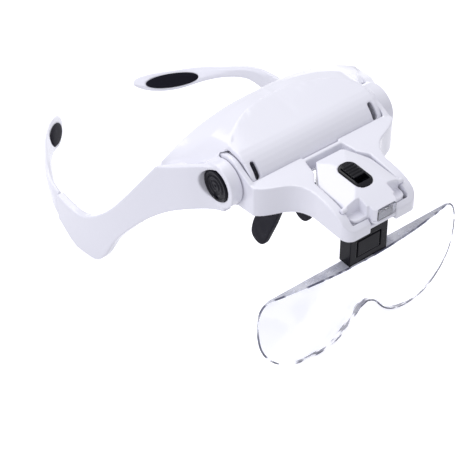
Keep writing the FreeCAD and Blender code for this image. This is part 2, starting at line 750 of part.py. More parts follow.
def contact_spring():
    """Leaf under the lower cell."""
    leaf = box(-2.0, 2.0, cell_y - 7.0, cell_y + 7.0, bracket_floor + 0.15, bracket_floor + 0.35)
    bump = box(-2.0, 2.0, cell_y - 1.0, cell_y + 1.0, bracket_floor + 0.3, bracket_floor + 0.52)
    return leaf.fuse(bump).removeSplitter()


def led(x):
    """Round-nosed 5 mm LED lying along the lamp's nose."""
    y0 = lamp_nose_front + 3.4
    body = rod_y(led_r, y0 + led_r, y0 + 7.0, x, 0.35)
    dome = Part.makeSphere(led_r, V(x, y0 + led_r, 0.35))
    rim = rod_y(led_r + 0.3, y0 + 6.0, y0 + 7.0, x, 0.35)
    z = board_top + 0.02
    legs = [box(x + off - 0.25, x + off + 0.25, y0 + 6.5, y0 + 9.4, z, z + 0.5)
            for off in (-1.27, 1.27)]
    return body.fuse([dome, rim] + legs).removeSplitter()


def reflector():
    """Bright plate with two cups that the LEDs stand in."""
    y0 = lamp_nose_front + 5.2
    plate = box(-6.4, 6.4, y0, y0 + 2.4, -3.2, 3.35)
    for x in (-led_spacing / 2, led_spacing / 2):
        cup = Part.makeCone(led_r + 0.6, led_r + 0.05, 2.5, V(x, y0 - 0.05, 0.35), V(0, 1, 0))
        plate = plate.cut(cup)
    return plate


def led_window():
    y0 = lamp_nose_front + 0.3
    return box(-6.15, 6.15, y0, y0 + 1.2, -2.95, 3.65)


def lamp_screws():
    screws = []
    for x in (screw_inset - lamp_half, lamp_half - screw_inset):
        floor_z = lamp_split - 1.6
        head = rod_z(1.9, floor_z - 0.4, floor_z + 0.85, x, screw_y)
        shank = rod_z(1.0, floor_z + 0.8, lamp_split + 5.0, x, screw_y)
        screws.append(head.fuse(shank).removeSplitter())
    return screws


# ---------------------------------------------------------------- lens clip and lens

def plug(grow):
    """Tab on top of the lens, which pushes up into the clip."""
    y0 = clip_front + clip_wall
    z0 = clip_bottom - lens_gap
    return box(-plug_half - grow, plug_half + grow, y0 - grow, y0 + plug_thick + grow,
               z0 - 1.5, z0 + plug_rise + grow)


def snap_space(grow):
    """Place of the snap tongue in the clip's front wall, with slits on three sides."""
    half = snap_half + grow
    return box(-half, half, clip_front - 1, clip_front + clip_wall - lens_fit,
               clip_bottom + snap_low, clip_bottom + snap_high + grow)


def lens_clip():
    rear = clip_front + clip_depth
    top = bracket_floor + 2.25
    block = box(-clip_half, clip_half, clip_front, rear, clip_bottom, top + 2.0)
    flange = box(-clip_half - 2.4, clip_half + 2.4, clip_front - 1.6, rear + 1.6, top, top + 2.0)
    flare = polygon([(clip_half - 0.1, clip_front, bracket_floor - 0.1),
                     (clip_half + 3.2, clip_front, bracket_floor - 0.1),
                     (clip_half + 3.2, clip_front, bracket_floor - 3.0),
                     (clip_half - 0.1, clip_front, bracket_floor - 8.0)])
    wing = Part.Face(flare).extrude(V(0, clip_depth, 0))
    clip = block.fuse([flange, wing, mirrored(wing)])
    clip = clip.cut(plug(lens_fit))
    clip = clip.cut(snap_space(slit_width))
    return clip.removeSplitter()


def snap_tongue():
    """Springy tongue in the clip's front wall, rooted at the bottom, that grips the plug."""
    return box(-snap_half, snap_half, clip_front, clip_front + clip_wall - lens_fit,
               clip_bottom + snap_low, clip_bottom + snap_high)


def lens_outline(y):
    """The wide lens from the front: a straight top, two lobes and an arch for the nose."""
    floor = -ground_drop
    half = lens_half
    top_z = clip_bottom - lens_gap
    arch = floor + 23.6
    edge = curve([(0, y, arch), (5.0, y, arch - 2.6), (11.0, y, arch - 10.4),
                  (18.4, y, floor + 6.0), (28.0, y, floor + 1.4), (39.0, y, floor),
                  (49.0, y, floor + 1.4), (half - 9.6, y, floor + 9.0),
                  (half - 2.6, y, floor + 20.0), (half, y, floor + 33.0),
                  (half - 0.4, y, top_z - 9.0), (half - 2.5, y, top_z - 3.5),
                  (half - 7.5, y, top_z)])
    top = line((half - 7.5, y, top_z), (0, y, top_z))
    middle = line((0, y, top_z), (0, y, arch))
    return [edge, top, middle]


def lens():
    """Magnifying lens: flat behind, bulging in front, with the plug on top."""
    thick = lens_edge + lens_bulge
    blank = both_sides(slab(lens_outline(lens_back), V(0, -thick, 0)))
    reach = lens_half - 2.0
    ball_r = (reach ** 2 + lens_bulge ** 2) / (2 * lens_bulge)
    middle_z = (clip_bottom - ground_drop) / 2
    ball = Part.makeSphere(ball_r, V(0, lens_back - thick + ball_r, middle_z))
    return blank.common(ball).fuse(plug(0.0)).removeSplitter()


# ---------------------------------------------------------------- assembly

def build_all():
    shapes["brow_frame"] = brow_frame()
    shapes["front_panel"] = front_panel()
    shapes["brow_liner"] = brow_liner()
    shapes["nose_holder"] = nose_holder()
    shapes["liner_screws"] = Part.makeCompound(liner_screws())
    pairs = {"hinge_nut": hinge_nut(), "friction_washer": friction_washer(), "knob": knob(),
             "nose_pad": nose_pad(), "rear_arm": rear_arm(), "rear_pad": rear_pad()}
    for name, shape in pairs.items():
        shapes[name + "_left"] = shape
        shapes[name + "_right"] = mirrored(shape)
    shapes["visor_bracket"] = visor_bracket()
    shapes["lamp_cover"] = lamp_cover()
    shapes["lamp_base"] = lamp_base()
    shapes["switch_bezel"] = switch_bezel()
    shapes["switch_slider"] = slider()
    shapes["switch_body"] = switch_body()
    shapes["circuit_board"] = circuit_board()
    shapes["battery_door"] = battery_door()
    shapes["coin_cells"] = Part.makeCompound(coin_cells())
    shapes["contact_plate"] = contact_plate()
    shapes["contact_spring"] = contact_spring()
    shapes["led_left"] = led(led_spacing / 2)
    shapes["led_right"] = led(-led_spacing / 2)
    shapes["reflector"] = reflector()
    shapes["led_window"] = led_window()
    shapes["lamp_screws"] = Part.makeCompound(lamp_screws())
    shapes["lens_clip"] = lens_clip()
    shapes["snap_tongue"] = snap_tongue()
    shapes["lens"] = lens()


def export_all():
    """Moves everything onto the table and writes one file for each piece."""
    whole = FreeCAD.BoundBox()
    for shape in shapes.values():
        whole.add(shape.optimalBoundingBox(False))
    shift = V(-whole.Center.x, -whole.Center.y, -whole.ZMin)
    print("hinge line at y %.3f z %.3f" % (shift.y, shift.z))
    print("size %.1f %.1f %.1f" % (whole.XLength, whole.YLength, whole.ZLength))
    for name, shape in shapes.items():
        shape.translate(shift)
        print("%-22s solids %d  volume %9.1f  valid %s"
              % (name, len(shape.Solids), shape.Volume, shape.isValid()))
        shape.exportStep("parts/%s.step" % name)


os.makedirs("parts", exist_ok=True)
build_all()
export_all()
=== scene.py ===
# %% [markdown]
# # A head visor magnifier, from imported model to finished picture
# The real thing is worn like a cap without a top. A white brow shell crosses the forehead, two
# long temples run back to the ears, and a bracket hinged at the brow carries a small lamp and a
# wide lens. The engineering model already fixes every size and joint. Here each piece gets its
# visible surface. We could model the look from nothing, but a look that drifts from the sizes is
# useless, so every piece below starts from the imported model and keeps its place.

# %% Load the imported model
import json
import math
import bmesh
import bpy
import numpy as np
from mathutils import Matrix, Vector


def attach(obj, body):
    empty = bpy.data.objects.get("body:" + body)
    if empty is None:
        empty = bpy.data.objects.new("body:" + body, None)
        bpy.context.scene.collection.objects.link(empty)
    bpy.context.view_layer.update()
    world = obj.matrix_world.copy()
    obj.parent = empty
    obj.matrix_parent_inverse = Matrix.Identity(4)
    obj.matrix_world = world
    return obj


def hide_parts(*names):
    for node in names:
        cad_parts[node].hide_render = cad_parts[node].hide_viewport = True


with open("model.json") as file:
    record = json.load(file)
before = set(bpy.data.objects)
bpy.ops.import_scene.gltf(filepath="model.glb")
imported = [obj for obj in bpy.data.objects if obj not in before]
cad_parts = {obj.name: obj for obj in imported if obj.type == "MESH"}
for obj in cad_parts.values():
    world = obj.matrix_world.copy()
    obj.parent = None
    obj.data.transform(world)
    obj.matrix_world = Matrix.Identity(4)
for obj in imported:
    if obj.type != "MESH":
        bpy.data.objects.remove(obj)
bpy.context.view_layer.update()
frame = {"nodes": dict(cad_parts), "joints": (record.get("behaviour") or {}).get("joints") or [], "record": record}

MM = 0.001
joints = {j["name"]: j for j in frame["joints"]}
HINGE = Vector(joints["bracket_tilt"]["pos_m"])


def at(x, y, z):
    """A point given in millimetres from the hinge line, which is how the maker's drawing reads."""
    return HINGE + Vector((x, y, z)) * MM


print("pieces:", len(frame["nodes"]), "hinge line at", tuple(round(v, 4) for v in HINGE))

# %% [markdown]
# ## Camera
# A product like this is best shown from far off with a long lens, so that near and far parts keep
# nearly the same size. The camera stands in front, to the wearer's right, and looks down at a bit
# over forty degrees. Its three axes are written out, because that is exact and easy to check: they
# are the picture's right, its up, and the way back to the viewer.

# %% Camera
VIEW_RIGHT = Vector((0.7862, -0.6180, 0.0))
VIEW_UP = Vector((0.4108, 0.5227, 0.7470))
VIEW_BACK = VIEW_RIGHT.cross(VIEW_UP).normalized()
VIEW_PLACE = at(-521.9, -603.5, 647.6)
camera_data = bpy.data.cameras.new("long_lens")
camera_data.lens = 149.6
camera_data.sensor_width = 36.0
camera_data.clip_end = 20.0
camera = bpy.data.objects.new("camera", camera_data)
bpy.context.scene.collection.objects.link(camera)
turn = Matrix((VIEW_RIGHT, VIEW_UP, VIEW_BACK)).transposed().to_4x4()
camera.matrix_world = Matrix.Translation(VIEW_PLACE) @ turn
bpy.context.scene.camera = camera
print("camera", tuple(round(v, 3) for v in camera.location), "m")

# %% [markdown]
# ## Light
# A white glossy object shows its shape through soft differences of grey, so small hard lamps would
# only give it spots. We use a cool surround, one very large soft panel overhead for the pale tops,
# a smaller one at the wearer's right for the long side, and a very weak one in front, which gives
# the black parts a glint. The plain sRGB view keeps white plastic white, where a film-like view
# would turn it grey.

# %% Surround and softboxes
bpy.context.scene.view_settings.view_transform = "Standard"


def linear(code):
    """An sRGB hex colour such as F4F4FE as linear red, green, blue and alpha."""
    shares = [int(code[i:i + 2], 16) / 255 for i in (0, 2, 4)]
    return (*(c / 12.92 if c <= 0.04045 else ((c + 0.055) / 1.055) ** 2.4 for c in shares), 1.0)


world = bpy.data.worlds.new("studio")
bpy.context.scene.world = world
world.use_nodes = True
surround = world.node_tree.nodes["Background"]
surround.inputs["Color"].default_value = linear("F8F8FF")
surround.inputs["Strength"].default_value = 0.63


def softbox(name, place, target, size, power, tint):
    """A large square area light that faces a point."""
    data = bpy.data.lights.new(name, "AREA")
    data.shape = "SQUARE"
    data.size = size
    data.energy = power
    data.color = linear(tint)[:3]
    lamp = bpy.data.objects.new(name, data)
    bpy.context.scene.collection.objects.link(lamp)
    lamp.location = place
    lamp.rotation_euler = (target - place).to_track_quat("-Z", "Y").to_euler()
    print(name, power, "W")


MIDDLE = HINGE + Vector((0, 0.05, -0.03))
softbox("overhead", MIDDLE + Vector((0.1, 0.6, 1.2)), MIDDLE, size=1.1, power=8.5, tint="FFFFFF")
softbox("right_side", MIDDLE + Vector((-1.4, 0.1, 0.5)), MIDDLE, size=0.9, power=5.8, tint="F6F6FF")
softbox("front", MIDDLE + Vector((0.5, -1.3, 0.7)), MIDDLE, size=0.7, power=0.3, tint="FFFFFF")

# %% [markdown]
# ## A helper for materials
# Every finish below is a small tree of nodes. One function adds a node, sets its values and makes
# its links, so each material reads as a short list of what it is made of.

# %% The node helper


def add(material, kind, settings=None, links=None):
    """Adds one node. Settings are attributes or input values, links feed its inputs by name."""
    tree = material.node_tree
    node = tree.nodes.new(kind)
    for key, value in (settings or {}).items():
        if isinstance(key, str) and hasattr(node, key):
            setattr(node, key, value)
        else:
            node.inputs[key].default_value = value
    for key, source in (links or {}).items():
        tree.links.new(source, node.inputs[key])
    return node


def new_material(name):
    material = bpy.data.materials.new(name)
    material.use_nodes = True
    material.node_tree.nodes.clear()
    return material


def finish_with(material, shader):
    add(material, "ShaderNodeOutputMaterial", links={"Surface": shader.outputs[0]})
    print("material", material.name)
    return material


def place_in(material):
    return add(material, "ShaderNodeTexCoord").outputs["Object"]


print("node helpers ready")

# %% [markdown]
# ## Moulded plastics
# The white parts are ABS, injection moulded in a polished steel mould. Such a surface is never a
# perfect mirror: it has a slow waviness a few millimetres long, called orange peel, and handling
# leaves its gloss a little uneven. We draw both from noise, in real millimetres. Black parts come
# from a blasted mould, whose tiny pits swallow part of the glint, so their mirror share is lower.

# %% White and black plastics


def moulded_plastic(name, pale, deep, rough, peel_mm, peel_depth, grain_mm=0.0, grain_depth=0.0,
                    glint=0.5):
    """Injection-moulded plastic: a slight drift of tone, uneven gloss and orange peel."""
    m = new_material(name)
    where = place_in(m)
    drift = add(m, "ShaderNodeTexNoise", {"Scale": 1 / (40 * MM), "Detail": 2.0}, {"Vector": where})
    tone = add(m, "ShaderNodeMix", {"data_type": "RGBA", 6: linear(pale), 7: linear(deep)},
               {0: drift.outputs["Fac"]})
    wipe = add(m, "ShaderNodeTexNoise", {"Scale": 1 / (9 * MM), "Detail": 3.0}, {"Vector": where})
    gloss = add(m, "ShaderNodeMapRange", {"To Min": rough * 0.8, "To Max": rough * 1.25},
                {"Value": wipe.outputs["Fac"]})
    peel = add(m, "ShaderNodeTexNoise", {"Scale": 1 / (peel_mm * MM), "Detail": 1.0},
               {"Vector": where})
    skin = add(m, "ShaderNodeBump", {"Strength": 1.0, "Distance": peel_depth * MM},
               {"Height": peel.outputs["Fac"]})
    if grain_mm:
        grain = add(m, "ShaderNodeTexVoronoi", {"Scale": 1 / (grain_mm * MM)}, {"Vector": where})
        skin = add(m, "ShaderNodeBump", {"Strength": 1.0, "Distance": grain_depth * MM},
                   {"Height": grain.outputs["Distance"], "Normal": skin.outputs["Normal"]})
    shader = add(m, "ShaderNodeBsdfPrincipled", {"IOR": 1.54, "Specular IOR Level": glint},
                 {"Base Color": tone.outputs[2], "Roughness": gloss.outputs[0],
                  "Normal": skin.outputs["Normal"]})
    return finish_with(m, shader)


GLOSS_WHITE = moulded_plastic("moulded_gloss_white_ABS", "F0F0F7", "EDEDF5", 0.16, 4.0, 0.010)
PANEL_WHITE = moulded_plastic("moulded_satin_white_ABS", "EAEAF2", "E6E6EF", 0.24, 4.0, 0.010)
INNER_WHITE = moulded_plastic("spark_textured_white_ABS", "E4E4EC", "DFDFE8", 0.42, 4.0, 0.006,
                              0.5, 0.03)
GLOSS_BLACK = moulded_plastic("moulded_gloss_black_ABS", "0C0C14", "08080E", 0.2, 3.0, 0.008,
                              glint=0.22)
KNOB_BLACK = moulded_plastic("turned_satin_black_acetal", "12121C", "0C0C14", 0.3, 2.0, 0.006,
                             glint=0.1)
NYLON_BLACK = moulded_plastic("moulded_matt_black_nylon", "12121B", "0D0D15", 0.42, 2.0, 0.01,
                              0.5, 0.02, glint=0.1)
CLIP_BLACK = moulded_plastic("moulded_satin_black_ABS", "0E0E17", "09090F", 0.26, 3.0, 0.008,
                             glint=0.08)
NYLON_PLAIN = moulded_plastic("punched_natural_nylon", "D9D5C8", "CFCABC", 0.45, 2.0, 0.01)

# %% [markdown]
# ## Silicone
# The pads that touch the wearer are moulded silicone with a fine matt skin, which scatters light
# softly and never shines. A fine grain, drawn a little coarser than the real one so that it shows,
# and a trace of sheen from handling make it read as rubber and not as plastic.

# %% Silicone


def silicone(name, pale, deep):
    m = new_material(name)
    where = place_in(m)
    dust = add(m, "ShaderNodeTexNoise", {"Scale": 1 / (6 * MM), "Detail": 5.0}, {"Vector": where})
    tone = add(m, "ShaderNodeMix", {"data_type": "RGBA", 6: linear(deep), 7: linear(pale)},
               {0: dust.outputs["Fac"]})
    grain = add(m, "ShaderNodeTexNoise", {"Scale": 1 / (0.7 * MM), "Detail": 2.0},
                {"Vector": where})
    skin = add(m, "ShaderNodeBump", {"Strength": 1.0, "Distance": 0.05 * MM},
               {"Height": grain.outputs["Fac"]})
    gloss = add(m, "ShaderNodeMapRange", {"To Min": 0.5, "To Max": 0.7},
                {"Value": dust.outputs["Fac"]})
    shader = add(m, "ShaderNodeBsdfPrincipled",
                 {"IOR": 1.41, "Specular IOR Level": 0.12, "Sheen Weight": 0.01},
                 {"Base Color": tone.outputs[2], "Normal": skin.outputs["Normal"],
                  "Roughness": gloss.outputs[0]})
    return finish_with(m, shader)


SILICONE = silicone("moulded_black_silicone", "15141F", "0F0E18")

# %% [markdown]
# ## Metals and the circuit board
# The small hidden parts are real metals: zinc on steel screws, turned brass nuts, nickel on the
# cells and contacts, and a vacuum metallised reflector. Each keeps the colour that metal reflects.

# %% Metals and board


def metal(name, pale, deep, rough, streak_mm):
    m = new_material(name)
    where = place_in(m)
    marks = add(m, "ShaderNodeTexNoise", {"Scale": 1 / (streak_mm * MM), "Detail": 4.0},
                {"Vector": where})
    tone = add(m, "ShaderNodeMix", {"data_type": "RGBA", 6: linear(pale), 7: linear(deep)},
               {0: marks.outputs["Fac"]})
    gloss = add(m, "ShaderNodeMapRange", {"To Min": rough * 0.7, "To Max": rough * 1.4},
                {"Value": marks.outputs["Fac"]})
    shader = add(m, "ShaderNodeBsdfPrincipled", {"Metallic": 1.0},
                 {"Base Color": tone.outputs[2], "Roughness": gloss.outputs[0]})
    return finish_with(m, shader)


ZINC = metal("zinc_plated_steel", "C9CBCF", "B4B7BC", 0.3, 0.6)
BRASS = metal("turned_brass", "E0C173", "C9A757", 0.25, 0.4)
NICKEL = metal("nickel_plated_steel", "D8D6CF", "C6C3BB", 0.22, 0.8)
MIRROR_COAT = metal("vacuum_metallised_plastic", "E9E9EE", "DCDCE4", 0.08, 2.0)
BOARD = moulded_plastic("solder_masked_board", "1D5A33", "174A29", 0.3, 1.0, 0.01)

# %% [markdown]
# ## Clear plastics
# The lens is polished acrylic and the small window is clear polycarbonate. Acrylic has an index of
# 1.49, which bends the edges into thin grey lines while the middle stays almost invisible. Tiny
# differences of gloss stand for the polish.

# %% Clear acrylic and epoxy


def clear_plastic(name, tint, index, rough):
    m = new_material(name)
    where = place_in(m)
    haze = add(m, "ShaderNodeTexNoise", {"Scale": 1 / (12 * MM), "Detail": 2.0}, {"Vector": where})
    gloss = add(m, "ShaderNodeMapRange", {"To Min": rough * 0.5, "To Max": rough * 1.5},
                {"Value": haze.outputs["Fac"]})
    shader = add(m, "ShaderNodeBsdfPrincipled",
                 {"Base Color": linear(tint), "IOR": index, "Transmission Weight": 1.0},
                 {"Roughness": gloss.outputs[0]})
    return finish_with(m, shader)


ACRYLIC = clear_plastic("polished_clear_acrylic", "FAFBFF", 1.49, 0.01)
WINDOW = clear_plastic("clear_polycarbonate", "F4F5FA", 1.58, 0.03)
EPOXY = clear_plastic("cast_clear_epoxy", "F2F3EC", 1.53, 0.04)

FINISH = {
    "brow_frame": GLOSS_WHITE, "front_panel": PANEL_WHITE, "brow_liner": INNER_WHITE,
    "nose_holder": NYLON_BLACK, "liner_screws": ZINC, "hinge_nut": BRASS,
    "friction_washer": NYLON_PLAIN, "knob": KNOB_BLACK, "nose_pad": SILICONE,
    "rear_arm": GLOSS_WHITE, "rear_pad": SILICONE, "visor_bracket": GLOSS_WHITE,
    "lens_clip": CLIP_BLACK, "snap_tongue": CLIP_BLACK, "lamp_cover": GLOSS_WHITE,
    "lamp_base": GLOSS_WHITE, "switch_bezel": GLOSS_BLACK, "switch_slider": GLOSS_BLACK,
    "switch_body": NYLON_BLACK, "circuit_board": BOARD, "battery_door": GLOSS_WHITE,
    "coin_cells": NICKEL, "contact_plate": NICKEL, "contact_spring": NICKEL, "led": EPOXY,
    "reflector": MIRROR_COAT, "led_window": WINDOW, "lamp_screws": ZINC, "lens": ACRYLIC,
}


def finish_of(node):
    """Left and right copies of a piece share one finish."""
    return FINISH[node.removesuffix("_left").removesuffix("_right")]


for name, piece in frame["nodes"].items():
    piece.data.materials.clear()
    piece.data.materials.append(finish_of(name))
print("finishes given to", len(frame["nodes"]), "pieces")

# %% [markdown]
# ## Floor
# A single large sheet of matt pale card stands in for the studio table. Product tables are often
# lit from below, so that the shadow stays faint: the card therefore glows a little by itself. It
# lies half a millimetre low, so that the lip of the lens never cuts into it, and it sends no soft
# light up, because that would wipe out the shade on the underside.

# %% Floor


def lit_card(name):
    """Uncoated white card on a light table: paper fibre in the tone, and a weak glow."""
    m = new_material(name)
    fibre = add(m, "ShaderNodeTexNoise", {"Scale": 1 / (3 * MM), "Detail": 4.0},
                {"Vector": place_in(m)})
    tone = add(m, "ShaderNodeMix", {"data_type": "RGBA", 6: linear("FFFFFF"), 7: linear("FAFAFF")},
               {0: fibre.outputs["Fac"]})
    shader = add(m, "ShaderNodeBsdfPrincipled",
                 {"Roughness": 0.9, "Emission Color": linear("FBFBFF"), "Emission Strength": 0.5},
                 {"Base Color": tone.outputs[2]})
    return finish_with(m, shader)


CARD = lit_card("uncoated_white_card")
CARD_HALF = 3.0
CARD_DROP_MM = 0.5
mesh = bpy.data.meshes.new("floor")
bm = bmesh.new()
bmesh.ops.create_grid(bm, x_segments=4, y_segments=4, size=CARD_HALF)
bm.to_mesh(mesh)
bm.free()
floor = bpy.data.objects.new("floor", mesh)
bpy.context.scene.collection.objects.link(floor)
floor.location.z = -CARD_DROP_MM * MM
mesh.materials.append(CARD)
floor.visible_diffuse = False
print("floor", 2 * CARD_HALF, "m wide")

# %% [markdown]
# ## Pieces that stand in for packed ones
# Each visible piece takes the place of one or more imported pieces, with their finish and their
# motion. One helper does all of that for every piece, so that none can be forgotten, shown twice
# or left behind when a joint moves.

# %% Placing a piece


def body_of(node):
    return next(b for b, nodes in frame["record"]["behaviour"]["bodies"].items() if node in nodes)


def shown(name, mesh):
    """Puts a mesh in the scene as an object."""
    piece = bpy.data.objects.new(name, mesh)
    bpy.context.scene.collection.objects.link(piece)
    return piece


def stand_for(piece, *nodes):
    """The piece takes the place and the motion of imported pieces."""
    if not piece.data.materials:
        piece.data.materials.append(finish_of(nodes[0]))
    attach(piece, body_of(nodes[0]))
    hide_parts(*nodes)
    print(piece.name, len(piece.data.vertices), "points")
    return piece


# %% [markdown]
# ## Softened mouldings
# A moulded part has no sharp edge: the tool leaves every corner with a radius of about a
# millimetre, and that radius is what catches the light. Bevelling each edge by hand would take
# long on such shapes. Instead we rebuild the surface on a fine grid, which keeps the volume, and
# relax it a few times, which rounds every edge by about the size of the grid.

# %% Rebuild and soften
WELD_MM = 0.002


def shade_smooth(mesh):
    mesh.polygons.foreach_set("use_smooth", [True] * len(mesh.polygons))


def as_mesh(name, bm):
    """Turns a working mesh into a kept one."""
    mesh = bpy.data.meshes.new(name)
    bm.to_mesh(mesh)
    bm.free()
    return mesh


def welded_copy(node):
    """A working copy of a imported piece, whose faces share their points."""
    bm = bmesh.new()
    bm.from_mesh(frame["nodes"][node].data)
    bmesh.ops.remove_doubles(bm, verts=bm.verts, dist=WELD_MM * MM)
    return bm


def regrid(piece, grid_mm, relax):
    """Rebuilds a piece on a grid and relaxes it, then turns the result into plain mesh."""
    grid = piece.modifiers.new("grid", "REMESH")
    grid.mode = "VOXEL"
    grid.voxel_size = grid_mm * MM
    ease = piece.modifiers.new("ease", "SMOOTH")
    ease.factor = 0.5
    ease.iterations = relax
    graph = bpy.context.evaluated_depsgraph_get()
    done = bpy.data.meshes.new_from_object(piece.evaluated_get(graph))
    piece.modifiers.clear()
    piece.data = done
    shade_smooth(piece.data)
    piece.data.materials.clear()


def softened(name, node, grid_mm, relax):
    """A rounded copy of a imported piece, which stands in its place."""
    piece = shown(name, as_mesh(node, welded_copy(node)))
    regrid(piece, grid_mm, relax)
    return stand_for(piece, node)


print("points closer than", WELD_MM, "mm are welded")

# %% [markdown]
# ## Brow shell, temples and panel
# On the real visor the front panel is glued into the brow so closely that only a soft crease
# shows. Two separate surfaces would leave a dark groove there, so both are rebuilt together as one
# skin. The groove is closed by growing the top of the panel by half a millimetre and by a thin
# bead of glue just under the crease, before all three are joined.

# %% One skin for brow and panel


def grown(node, by_mm, above_mm):
    """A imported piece, pushed out more and more from the hinge line up to a height."""
    bm = welded_copy(node)
    bm.normal_update()
    for v in bm.verts:
        share = max(0.0, min(1.0, (v.co.z - HINGE.z) / (above_mm * MM)))
        v.co += v.normal * by_mm * share * MM
    return as_mesh(node + "_grown", bm)


def tube(name, places, radius_mm, closed=False):
    """A round tube through a row of points, as a mesh."""
    curve = bpy.data.curves.new(name, "CURVE")
    curve.dimensions = "3D"
    curve.bevel_depth = radius_mm * MM
    path = curve.splines.new("POLY")
    path.points.add(len(places) - 1)
    for point, place in zip(path.points, places):
        point.co = (*place, 1.0)
    path.use_cyclic_u = closed
    wire = shown(name + "_path", curve)
    graph = bpy.context.evaluated_depsgraph_get()
    mesh = bpy.data.meshes.new_from_object(wire.evaluated_get(graph))
    bpy.data.objects.remove(wire)
    return mesh


CREASE_HALF_MM = 47.4
CREASE_BACK_MM, BACK_FALL_MM = 22.9, 21.6
CREASE_TOP_MM, TOP_FALL_MM = 20.5, 3.3
BEAD_MM = 1.2
BEAD_UNDER_MM = 1.25
BEAD_STEP_MM = 2.2


def bead_point(x):
    """A point just under the crease, which is an arch seen from the front and from above."""
    share = abs(x) / CREASE_HALF_MM
    back = CREASE_BACK_MM - BACK_FALL_MM * share ** 2.6
    top = CREASE_TOP_MM - TOP_FALL_MM * share ** 4
    return at(x, back, top - BEAD_UNDER_MM)


bead = tube("glue_bead", [bead_point(BEAD_STEP_MM * i) for i in range(-20, 21)], BEAD_MM)
bm = welded_copy("brow_frame")
bm.from_mesh(grown("front_panel", by_mm=0.5, above_mm=17.0))
bm.from_mesh(bead)
shell = shown("brow_shell", as_mesh("brow_frame", bm))
regrid(shell, grid_mm=0.45, relax=12)
stand_for(shell, "brow_frame", "front_panel")

# %% [markdown]
# ## The other mouldings
# The same two steps round all the other hard moulded pieces. Small pieces get a finer grid, so
# that their slots stay open. Each row says the new piece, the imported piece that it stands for, the
# grid in millimetres and how often it is relaxed.

# %% The other hard mouldings
MOULDINGS = [
    ("inner_cover", "brow_liner", 0.6, 6), ("bracket_moulding", "visor_bracket", 0.45, 6),
    ("lamp_shell", "lamp_cover", 0.35, 6), ("lamp_tray", "lamp_base", 0.35, 4),
    ("arm_moulding_left", "rear_arm_left", 0.5, 12),
    ("arm_moulding_right", "rear_arm_right", 0.5, 12),
    ("clip_moulding", "lens_clip", 0.25, 3), ("tongue_moulding", "snap_tongue", 0.25, 3),
    ("nose_stalk", "nose_holder", 0.35, 6), ("door_moulding", "battery_door", 0.35, 3),
    ("switch_rim", "switch_bezel", 0.22, 3), ("switch_thumb", "switch_slider", 0.2, 3),
]
soft = {row[0]: softened(*row) for row in MOULDINGS}

# %% [markdown]
# ## Room for the switch
# The rebuilt surfaces take up part of the small gap at the end of the switch's travel, where the
# thumb piece would then just touch its well. A real one keeps some play there. So the piece is made
# a twentieth shorter along its travel, about its own middle, and still sits in the same place.

# %% Shorter thumb piece
THUMB_LENGTH = 0.95
thumb = soft["switch_thumb"].data.vertices
middle_y = sum(v.co.y for v in thumb) / len(thumb)
for v in thumb:
    v.co.y = middle_y + THUMB_LENGTH * (v.co.y - middle_y)
print("thumb piece at", THUMB_LENGTH, "of its length")

# %% [markdown]
# ## Rear pads
# The rear pads are ovals that swell out of the arms, highest in the middle and rounded at the rim.
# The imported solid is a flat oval, so its own long, short and thin directions are measured, and a
# domed form of the same size is laid out ring by ring along them.

# %% Rear pads


def main_axes(node):
    """Middle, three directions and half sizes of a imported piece, longest first."""
    co = np.array([v.co for v in frame["nodes"][node].data.vertices])
    directions = np.linalg.eigh(np.cov((co - co.mean(0)).T))[1].T[::-1]
    ends = [((co @ d).min(), (co @ d).max()) for d in directions]
    middle = sum(d * (high + low) / 2 for d, (low, high) in zip(directions, ends))
    return Vector(middle), [Vector(d) for d in directions], [(b - a) / 2 for a, b in ends]


BACK_ROUND = [(0.93, -1.0), (0.985, -0.8), (1.0, -0.3)]
CROWN_FOOT = -0.1


def domed_oval(name, node, outward, rings=14, around=72):
    """A closed oval pad: a flat back, a rounded rim and a crowned face towards outward."""
    middle, (along, across, thin), (a, b, c) = main_axes(node)
    if thin.dot(outward) < 0:
        thin = -thin
    bm = bmesh.new()

    def ring(share, height):
        place = middle + thin * height
        turns = [2 * math.pi * i / around for i in range(around)]
        return [bm.verts.new(place + along * a * share * math.cos(t)
                             + across * b * share * math.sin(t)) for t in turns]

    rows = [ring(share, c * height) for share, height in BACK_ROUND]
    for i in range(rings):
        share = 1.0 - (i + 0.5) / rings
        crown = math.sqrt(max(0.0, 1 - share ** 4))
        rows.append(ring(share, c * (CROWN_FOOT + (1 - CROWN_FOOT) * crown)))
    for low, high in zip(rows, rows[1:]):
        for i in range(around):
            j = (i + 1) % around
            bm.faces.new((low[i], low[j], high[j], high[i]))
    bm.faces.new(rows[0][::-1])
    bm.faces.new(rows[-1])
    bmesh.ops.recalc_face_normals(bm, faces=bm.faces)
    mesh = as_mesh(name, bm)
    shade_smooth(mesh)
    return shown(name, mesh)


for side, inward in (("left", -1), ("right", 1)):
    node = "rear_pad_" + side
    pad = domed_oval("rear_cushion_" + side, node, outward=Vector((inward, -0.6, 0)))
    stand_for(pad, node)

# %% [markdown]
# ## Nose pads
# Each nose pad is a soft paddle, thick in the middle and thin at the rim, with the face towards the
# nose a little hollow. Rebuilding the flat packed paddle on a fine grid and relaxing it many times
# draws the rim in by itself, as a moulded pad looks.

# %% Nose pads
for side in ("left", "right"):
    pad = softened("nose_cushion_" + side, "nose_pad_" + side, grid_mm=0.4, relax=26)

# %% [markdown]
# ## Knobs
# The knobs are turned discs with a stepped face: a rim, a groove, two raised rings and a small
# centre. A shape that is the same all round is best made as a lathe would, by turning one profile
# about the axis. The small thumb tab near the rim is what the fingers push, and is added as a
# rounded block.

